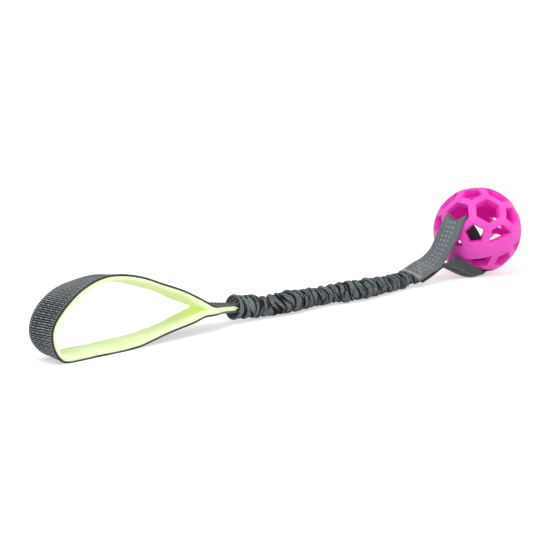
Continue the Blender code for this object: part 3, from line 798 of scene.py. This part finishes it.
def build_handle_stitches(band):
    """Two rows of stitches that sew the lining to the webbing."""
    paths = []
    for share in (-0.86, 0.86):
        paths += stitches_on(band, 0.006, band.length - 0.006, share, share, -0.00005, 0.0021,
                             0.0009, -0.00012)
    return add_threads("handle_stitches", paths)


# Sleeve


def ruffle_share(counts):
    """Length shares at which ruffle counts fall: the ruffles crowd towards the strap."""
    shares = np.linspace(0.0, 1.0, 400)
    grown = shares * (1.0 - RUFFLE_GROWTH_SHARE) + shares ** 2 * RUFFLE_GROWTH_SHARE
    return np.interp(np.asarray(counts) / RUFFLE_COUNT, grown, shares)


def slant(share, angle):
    """How far a ruffle runs ahead of its middle at an angle, as a share of the length."""
    lean = -0.85 * sin(angle + 0.25 * sin(9.0 * share)) - 0.25
    curl = 0.35 * sin(2.0 * angle + 31.0 * share)
    held_ends = clamp(np.minimum((share - 0.004) / 0.03, (1.0 - share) / 0.06))
    return RUFFLE_SLANT / SLEEVE_LENGTH * (lean + curl) * held_ends


def pressed(share):
    """How far the sleeve is flattened at a place: it widens to the strap's seam."""
    part = clamp((share - PRESS_START_SHARE) / (1.0 - PRESS_START_SHARE))
    return part * part * (3.0 - 2.0 * part)


def seam_frame(share=0.0):
    """The centre, width and up directions at a share of the strap's seam."""
    turn = (Matrix.Rotation(-asin(SEAM_RISE / SEAM_LENGTH), 3, "Y")
            @ Matrix.Rotation(SEAM_ROLL, 3, "X"))
    along, across, up = (np.array(direction) for direction in turn.col)
    return sleeve_axis(1.0)[0] + along * share * SEAM_LENGTH, across, up


def sleeve_frame(share):
    """The sleeve's centre, length, sideways and up directions at an array of length shares."""
    step = 0.5 / RUFFLE_COUNT
    flat = share.reshape(-1)
    along = unit(sleeve_axis(np.minimum(flat + step, 1.0))
                 - sleeve_axis(np.maximum(flat - step, 0.0)))
    press = pressed(flat)[:, None]
    sideways = level_directions(along) * (1.0 - press) + seam_frame()[1] * press
    sideways = unit(sideways - along * np.sum(sideways * along, axis=1, keepdims=True))
    frame = (sleeve_axis(flat), along, sideways, np.cross(along, sideways))
    return [part.reshape(*share.shape, 3) for part in frame]


def crease(place, sharpness):
    """One at each whole place, falling to zero half way between."""
    return 1.0 - np.abs(sin(pi * place)) ** sharpness


def fold_depth(count, share, angle):
    """Depth of the gathered cloth and its shade: main creases, part creases, fine wrinkles."""
    drift = 0.07 * sin(2.0 * angle + 2.3 * count)
    drift += 0.05 * sin(3.0 * angle - 1.7 * count + 1.0)
    place = count + 0.4 + drift * clamp(count / 1.5)
    main = crease(place, 0.60 + 0.12 * clamp(share / 0.35)) * (0.85 + 0.15 * clamp(share / 0.3))
    strength = 0.84 + 0.16 * sin(37.0 * share + 2.0 * sin(angle))
    turn = 0.09 * sin(2.0 * angle + 1.9 * count) + 0.07 * sin(3.0 * angle - 1.1 * count)
    part = 0.62 + 0.45 * sin(angle + 2.4 * count) + 0.30 * sin(2 * angle - 1.3 * count)
    there = np.clip(part + 0.6 * clamp(1.0 - share / 0.4), 0.4, 1.0)
    between = crease(place + 0.5 + turn, 0.66) * there
    third = crease(2 * place + 0.5 + 0.3 * sin(3 * angle + count), 0.6)
    third *= clamp(0.3 + sin(2 * angle - 1.7 * count + 0.6))
    crest = sin(pi * place) ** 2
    lump = sin(2.9 * count + 1.7) + 0.7 * sin(angle + 4.1 * count)
    fine = cos(2 * pi * 5 * place + 3.0 * sin(2 * angle + count))
    fine += cos(2 * pi * 8 * place + 2.0 * sin(5 * angle - 3 * count))
    length = share * SLEEVE_LENGTH
    calm = 1.0 - 0.9 * np.exp(-((length / HEM_CALM_LENGTH) ** 2))
    hem = np.exp(-(((length - HEM_CREASE_PLACE) / HEM_CREASE_WIDTH) ** 2))
    depth = MAIN_FOLD_DEPTH * strength * main + PART_FOLD_DEPTH * between
    depth += THIRD_FOLD_DEPTH * third + crest * (WRINKLE_DEPTH * fine - LUMP_HEIGHT * lump)
    shade = main + 0.9 * between + 0.3 * third
    return calm * depth + HEM_CREASE_DEPTH * hem, calm * shade + 0.84 * hem


def sleeve_rings(counts, angles, inset):
    """Points of the sleeve's cloth, moved in by inset from its outer face, and its fold shade."""
    count, angle = grid(counts, angles)
    middle = ruffle_share(count)
    share = middle + slant(middle, angle)
    centre, along, sideways, up = sleeve_frame(share)
    depth, shade = fold_depth(count, middle, angle)
    crest = MOUTH_RADIUS * sleeve_course(share.reshape(-1))[:, 1].reshape(share.shape)
    radius = crest - depth - inset
    flat = 1.0 - (1.0 - MOUTH_WIDTH_SHARE) * np.exp(-((share / 0.12) ** 2))
    press = pressed(share)
    wide = radius * flat * (1.0 + (TAIL_SPREAD_SHARE - 1.0) * press)
    tall = radius * (1.0 + (TAIL_FLATTENED_SHARE - 1.0) * press)
    hang = RUFFLE_HANG * sin(2 * pi * (count + 0.4)) * sin(angle + 0.8)
    hang *= (1.0 - press) * clamp(share / 0.03)
    points = oval(centre, sideways, up, wide, tall, angle) + along * hang[..., None]
    points[..., 2] = np.maximum(points[..., 2], 0.0001)
    return points, clamp(shade)


def closing_rings(angles):
    """The sleeve's last pleated rings, which run together into its flat end."""
    radius = MOUTH_RADIUS * END_RADIUS_SHARE
    rings = []
    for share, width, height, pleat in (
            (-0.25, 1.14, 0.40, 0.4), (-0.21, 1.18, 0.25, 0.8), (-0.17, 1.22, 0.19, 0.6),
            (-0.07, 1.25, 0.13, 0.3), (0.03, 1.24, 0.10, 0.0)):
        wave = 1.0 + pleat * 0.22 * cos(11 * angles + 2.0 * sin(2 * angles))
        rings.append(oval(*seam_frame(share), radius * width, radius * height * wave, angles))
    return np.array(rings)


def build_sleeve():
    """The gathered sleeve: creased cloth with a hemmed mouth, open inside for the elastic."""
    angles = round_angles(SLEEVE_COLUMNS)
    counts = np.arange(0.0, RUFFLE_COUNT - 1.15, 1.0 / RINGS_PER_RUFFLE)
    outside, shade = sleeve_rings(counts, angles, 0.0)
    close = closing_rings(angles)
    inner_counts = np.linspace(RUFFLE_COUNT - 2.5, 0.0, INNER_RINGS)
    inside, inner_shade = sleeve_rings(inner_counts, angles, CLOTH_THICKNESS)
    inner_shares = ruffle_share(inner_counts)
    length = (inner_shares * SLEEVE_LENGTH)[:, None]
    narrow = clamp(length / 0.004)[..., None]
    spokes = inside - sleeve_axis(inner_shares)[:, None, :]
    bore = RUFFLE_DEPTH + 2.4 * SLEEVE_WALL
    course = sleeve_course(inner_shares)[:, 1][:, None, None] * MOUTH_RADIUS
    reach = np.linalg.norm(spokes[..., 1:], axis=2, keepdims=True)
    wanted = np.minimum(reach, course - HEM_THICKNESS - (bore - HEM_THICKNESS) * narrow)
    inside = inside + spokes * np.array((0, 1, 1)) * (wanted / reach - 1.0)
    first, last = outside[0], inside[-1]
    lip = []
    for turn in np.linspace(pi, 0, 11)[1:-1]:
        back = np.array((-HEM_LIP, 0, 0)) * sin(turn)
        lip.append((first + last) / 2 - (last - first) / 2 * cos(turn) + back)
    points = np.concatenate([inside, np.array(lip), outside, close])
    lit = np.exp(-((length / 0.010) ** 2))
    inner_shade = clamp(0.55 - 0.30 * lit + 0.5 * inner_shade * (1.0 - 0.6 * lit))
    shades = np.concatenate([inner_shade, np.zeros(np.shape(lip)[:2]), shade,
                             np.full(close.shape[:2], 0.25)])
    steps = np.linalg.norm(np.diff(points, axis=0), axis=2)
    u = np.concatenate([np.zeros((1, len(angles))), np.cumsum(steps, axis=0)])
    v = np.broadcast_to(angles * MOUTH_RADIUS * 0.9, u.shape)
    return add_grid("bungee_sleeve_cloth", points, u, v, shades, sleeve_material())


def build_tail():
    """The sleeve's flat end between the strap's plies."""
    angles = round_angles(48)
    shares = np.linspace(-0.04, TAIL_LENGTH / SEAM_LENGTH, 40)
    points = np.array([oval(*seam_frame(share), TAIL_WIDTH / 2,
                            TAIL_THICKNESS / 2 + 0.00008 * sin(9 * angles + 40 * share), angles)
                       for share in shares])
    u, v = grid(shares * SEAM_LENGTH, angles * TAIL_WIDTH / 3)
    return add_grid("bungee_sleeve_tail", points, u, v, np.full(u.shape, 0.3),
                    bpy.data.materials["sleeve_weave"])


def round_stitches(count, number, length_share, inset, shift=0.0):
    """A round of stitches on the sleeve at a ruffle count, each a share of its pitch long."""
    paths = []
    for index in range(number):
        turns = (index + shift + np.linspace(0.0, length_share, 5)) / number
        points, _ = sleeve_rings(np.array([count]), turns * 2 * pi, inset)
        paths.append(points[0])
    return paths


def build_hem():
    """Thread round the sleeve's mouth: stitches outside and their ticks inside."""
    ticks = []
    for ring, count in enumerate((0.10, 0.22, 0.34)):
        ticks += round_stitches(count, 18, 0.2, CLOTH_THICKNESS + 0.0018 + 0.0005 * ring,
                                0.5 * (ring % 2))
    hem = round_stitches(0.20, 24, 0.6, -0.0001)
    return add_threads("sleeve_hem_stitches", hem), add_threads("sleeve_inner_ticks", ticks)


def build_elastic():
    """The elastic inside the sleeve."""
    start = (TAB_INSIDE + 2 * GAP) / SLEEVE_LENGTH
    shares = np.linspace(start, 1.0 - (CLOSED_END + GAP) / SLEEVE_LENGTH, 260)
    centre = sleeve_axis(shares)
    along = unit(np.gradient(centre, axis=0))
    sideways = level_directions(along)
    up = np.cross(along, sideways)
    turn, angle = grid(np.arange(len(shares)) * 0.35, round_angles(28))
    radius = CORE_RADIUS * (1.0 - 0.04 * cos(6 * angle + turn))
    points = oval(centre[:, None], sideways[:, None], up[:, None], radius, radius, angle)
    u, v = grid(running_length(centre), angle[0] * CORE_RADIUS)
    return add_grid("elastic_core_braid", points, u, v, np.zeros(u.shape), elastic_material())


# Strap


def strap_line(thousandths, across_share):
    """One guide line of the strap: seam, ball loop, seam."""
    thick_lift = TAIL_THICKNESS / 2 + GAP + STRAP_THICKNESS / 2
    thin_lift = GAP / 2 + STRAP_THICKNESS / 2
    rows = ((TAIL_LENGTH / SEAM_LENGTH + 0.04, thick_lift), (0.86, thin_lift))
    wrap = 1.0 - 0.35 * across_share ** 2
    over_sleeve = ((-0.22, thick_lift * 1.9 * wrap), (-0.08, thick_lift * 1.3 * wrap),
                   (0.1, thick_lift), *rows)

    def ply(places, side):
        for share, lift in places:
            centre, across, up = seam_frame(share)
            yield centre + across * across_share * STRAP_WIDTH / 2 + up * side * lift

    loop = BALL_CENTRE + np.array(thousandths) / 1000 * BALL_RADIUS
    lower = list(ply(((0.0, thick_lift), *rows), -1))
    return np.array([*ply(over_sleeve, 1), *loop, *lower[::-1]])


def strap_band():
    return Band(strap_line(STRAP_NEAR_THOUSANDTHS, -1), strap_line(STRAP_MIDDLE_THOUSANDTHS, 0),
                strap_line(STRAP_FAR_THOUSANDTHS, 1), STRAP_WIDTH, 700)


def build_strap_piece(name, band, start, end, material):
    """A stretch of the strap between two lengths along it."""
    places = np.linspace(start, end, max(int((end - start) / 0.00035), 30))
    half = STRAP_THICKNESS / 2
    return add_strip(name, band, places, -half, half, 0.0, STRAP_WIDTH / 2, material)


def split_places(band):
    """Lengths along the strap where the seam ends on its upper and lower ply."""
    part = len(band.along) // 4
    x = band.middle[:, 0]
    upper = np.interp(STRAP_SPLIT_X, x[:part], band.along[:part])
    lower = np.interp(STRAP_SPLIT_X, x[-part:][::-1], band.along[-part:][::-1])
    return upper, lower


def build_strap():
    """The strap in three stretches: two plies of the seam and the loop through the ball."""
    band = strap_band()
    upper, lower = split_places(band)
    material = strap_material(band.length * STRAP_BACK_SHARE)
    stretches = {
        "upper": ("ball_strap_upper_ply", 0.0, upper),
        "lower": ("ball_strap_lower_ply", lower, band.length),
        "loop": ("ball_strap_loop", upper - 0.0001, lower + 0.0001),
    }
    return band, {key: build_strap_piece(name, band, start, end, material)
                  for key, (name, start, end) in stretches.items()}


def build_tack_and_seam(band):
    """The bar tack of zigzag thread, and the crossed box of stitches behind it."""
    bar = []
    random.seed(4)
    for index in range(TACK_COUNT):
        share = TACK_EDGE_SHARE * (2 * index / (TACK_COUNT - 1) - 1)
        spread = TACK_SPREAD + 0.0001 * random.random()
        lean = 0.012 if index % 2 else -0.012
        places = np.linspace(TACK_PLACE - spread, TACK_PLACE + spread, 5)
        bar.append(stitch(band, places, share + np.linspace(-lean, lean, 5),
                          STRAP_THICKNESS / 2 + 0.00022, 0.00045))
    tack = add_threads("strap_bar_tack_thread", bar)
    under = band.length + 0.0053
    lines = []
    for begin, finish, low, high in (
            (SEAM_LAST, SEAM_LAST, -0.82, 0.82), (SEAM_LAST, SEAM_FIRST, 0.80, -0.80),
            (SEAM_FIRST, SEAM_LAST, 0.88, 0.88)):
        for start, end in ((begin, finish), (under - begin, under - finish)):
            lines += stitches_on(band, start, end, low, high, STRAP_THICKNESS / 2 + 0.00016,
                                 0.0018, 0.0004, 0.00010)
    return tack, add_threads("strap_seam_stitches", lines)


# Ball


def lattice_mesh():
    """The ball's outer face: open hexagons and pentagons round a solid belt."""
    lattice = bmesh.new()
    bmesh.ops.create_icosphere(lattice, subdivisions=1, radius=1.0)
    bmesh.ops.bevel(lattice, geom=lattice.verts[:], offset=100.0 / 3.0, offset_type="PERCENT",
                    affect="VERTICES", segments=1, profile=0.5)
    bmesh.ops.remove_doubles(lattice, verts=lattice.verts[:], dist=0.001)
    belt_cut = (BELT_WIDTH_SHARE - RIB_WIDTH_SHARE) / 2
    for side in (1, -1):
        everything = lattice.verts[:] + lattice.edges[:] + lattice.faces[:]
        bmesh.ops.bisect_plane(lattice, geom=everything, plane_co=(0.0, 0.0, side * belt_cut),
                               plane_no=(0.0, 0.0, 1.0), dist=0.0001)
    belt_edge = BELT_WIDTH_SHARE * 0.62
    cells = [face for face in lattice.faces if abs(face.calc_center_median().z) > belt_edge]
    bmesh.ops.inset_individual(lattice, faces=cells, thickness=RIB_WIDTH_SHARE / 2 * 0.93,
                               use_even_offset=True)
    bmesh.ops.delete(lattice, geom=cells, context="FACES_ONLY")
    bmesh.ops.subdivide_edges(lattice, edges=lattice.edges[:], cuts=3, use_grid_fill=True)
    for vertex in lattice.verts:
        vertex.co = vertex.co.normalized() * BALL_RADIUS
        vertex.co.z *= BALL_POLE_SHARE
    turn = (Matrix.Translation(Vector(BALL_CENTRE + SHIFT))
            @ Matrix.Rotation(BALL_TILT_HEADING, 4, "Z") @ Matrix.Rotation(BALL_TILT, 4, "Y")
            @ Matrix.Rotation(BALL_SPIN, 4, "Z"))
    bmesh.ops.transform(lattice, matrix=turn, verts=lattice.verts)
    bmesh.ops.recalc_face_normals(lattice, faces=lattice.faces)
    mesh = bpy.data.meshes.new("ball_lattice")
    lattice.to_mesh(mesh)
    lattice.free()
    return mesh


def build_ball():
    """The lattice ball, with its wall and its rounded rims."""
    piece = add("ball_lattice", lattice_mesh(), rubber_material())
    wall = piece.modifiers.new("wall", "SOLIDIFY")
    wall.thickness = BALL_WALL
    wall.offset = -1.0
    rims = piece.modifiers.new("rounded_rims", "BEVEL")
    rims.width = RIM_ROUND
    rims.segments = 3
    rims.limit_method = "ANGLE"
    rims.angle_limit = radians(50.0)
    bpy.context.view_layer.update()
    graph = bpy.context.evaluated_depsgraph_get()
    solid = bpy.data.meshes.new_from_object(piece.evaluated_get(graph))
    piece.modifiers.clear()
    piece.data = solid
    solid.name = "ball_lattice"
    places = np.empty(len(solid.vertices) * 3)
    solid.vertices.foreach_get("co", places)
    reach = np.linalg.norm(places.reshape(-1, 3) - BALL_CENTRE - SHIFT, axis=1)
    keep_values(solid, "outer", clamp((reach - (BALL_RADIUS - BALL_WALL)) / BALL_WALL))
    solid.polygons.foreach_set("use_smooth", [True] * len(solid.polygons))
    piece.modifiers.new("face_weights", "WEIGHTED_NORMAL").keep_sharp = False
    return piece


# Stage


def floor_material():
    """White floor that takes shadows and glows to the camera, more so far off."""
    n = Nodes("studio_floor")
    n.shade(Base_Color=n.plus(n.noise(30.0), 0.02, 0.66), Roughness=0.9, Specular_IOR_Level=0.0)
    path = n.node("LightPath")
    seen = n.most(*(path[f"Is {kind} Ray"] for kind in ("Camera", "Glossy", "Transmission")))
    distance = n.node("VectorMath", {0: n.place()}, operation="LENGTH")["Value"]
    strength = n.plus(seen, n.ramp(distance, 0.9, 3.5, 0.42, 0.72), 0.12)
    glow = n.node("Emission", {"Color": (1.0, 1.0, 1.0, 1.0), "Strength": strength})
    both = n.node("AddShader", {0: n.shader.outputs[0], 1: glow[0]})
    n.put(n.tree.nodes["Material Output"].inputs["Surface"], both[0])
    return n.material


def build_lamp(name, place, size, power):
    """A round soft lamp that looks at the toy's middle."""
    light = bpy.data.lights.new(name, "AREA")
    light.shape = "DISK"
    light.size = size
    light.energy = power
    lamp = link(name, light)
    lamp.location = place
    lamp.rotation_euler = (-Vector(place)).to_track_quat("-Z", "Y").to_euler()


def build_stage():
    """A white sweep, soft lamps and the photograph's camera."""
    corners = [(x * 30.0, y * 30.0, 0.0) for x, y in ((-1, -1), (1, -1), (1, 1), (-1, 1))]
    mesh = new_mesh("studio_floor", corners, [(0, 1, 2, 3)])
    floor = add("studio_floor", mesh, floor_material())

    scene = bpy.context.scene
    scene.world = bpy.data.worlds.new("studio")
    scene.world.use_nodes = True
    background = scene.world.node_tree.nodes["Background"]
    background.inputs["Color"].default_value = (1.0, 1.0, 1.0, 1.0)
    background.inputs["Strength"].default_value = 0.62

    build_lamp("key_lamp", (-0.9, -0.5, 1.7), 1.1, 16.0)
    build_lamp("fill_lamp", (0.7, -1.5, 1.0), 1.3, 6.0)

    camera = bpy.data.cameras.new("camera")
    camera.lens = 144.0
    camera.sensor_width = 36.0
    camera.clip_end = 100.0
    eye = link("camera", camera)
    eye.location = (-0.92843 + SHIFT[0], -1.06852, 0.31248 + SHIFT[2])
    eye.rotation_euler = (radians(79.8), 0.0, radians(-47.2))
    scene.camera = eye
    scene.view_settings.view_transform = "Standard"


def place_in_frame(x, z):
    """A point of the toy's own frame on its middle plane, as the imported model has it."""
    return x + SHIFT[0], 0.0, z + SHIFT[2]


def main():
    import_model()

    band = handle_band()
    webbing = build_webbing(band)
    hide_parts("handle_webbing")
    lining = build_lining(band)
    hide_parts("handle_lining")
    stitches = build_handle_stitches(band)

    sleeve = build_sleeve()
    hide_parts("bungee_sleeve")
    for piece in build_hem():
        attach(piece, "sleeve")
    tail = build_tail()
    elastic = build_elastic()
    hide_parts("elastic_core")

    strap, pieces = build_strap()
    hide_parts("ball_strap")
    tack, seam = build_tack_and_seam(strap)
    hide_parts("strap_bar_tack")

    ball = build_ball()
    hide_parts("ball")

    sleeve_end = MOUTH_X + SLEEVE_LENGTH
    for piece in (webbing, lining, stitches):
        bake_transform(piece)
    start, end = place_in_frame(MOUTH_X + 0.012, 0.01), place_in_frame(sleeve_end, 0.01)
    for piece in (sleeve, elastic):
        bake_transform(piece)
        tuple(start)
        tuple(end)
    for piece in (tail, pieces["upper"], pieces["lower"], tack, seam):
        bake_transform(piece)
    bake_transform(pieces["loop"])
    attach(ball, "ball")

    build_stage()


main()
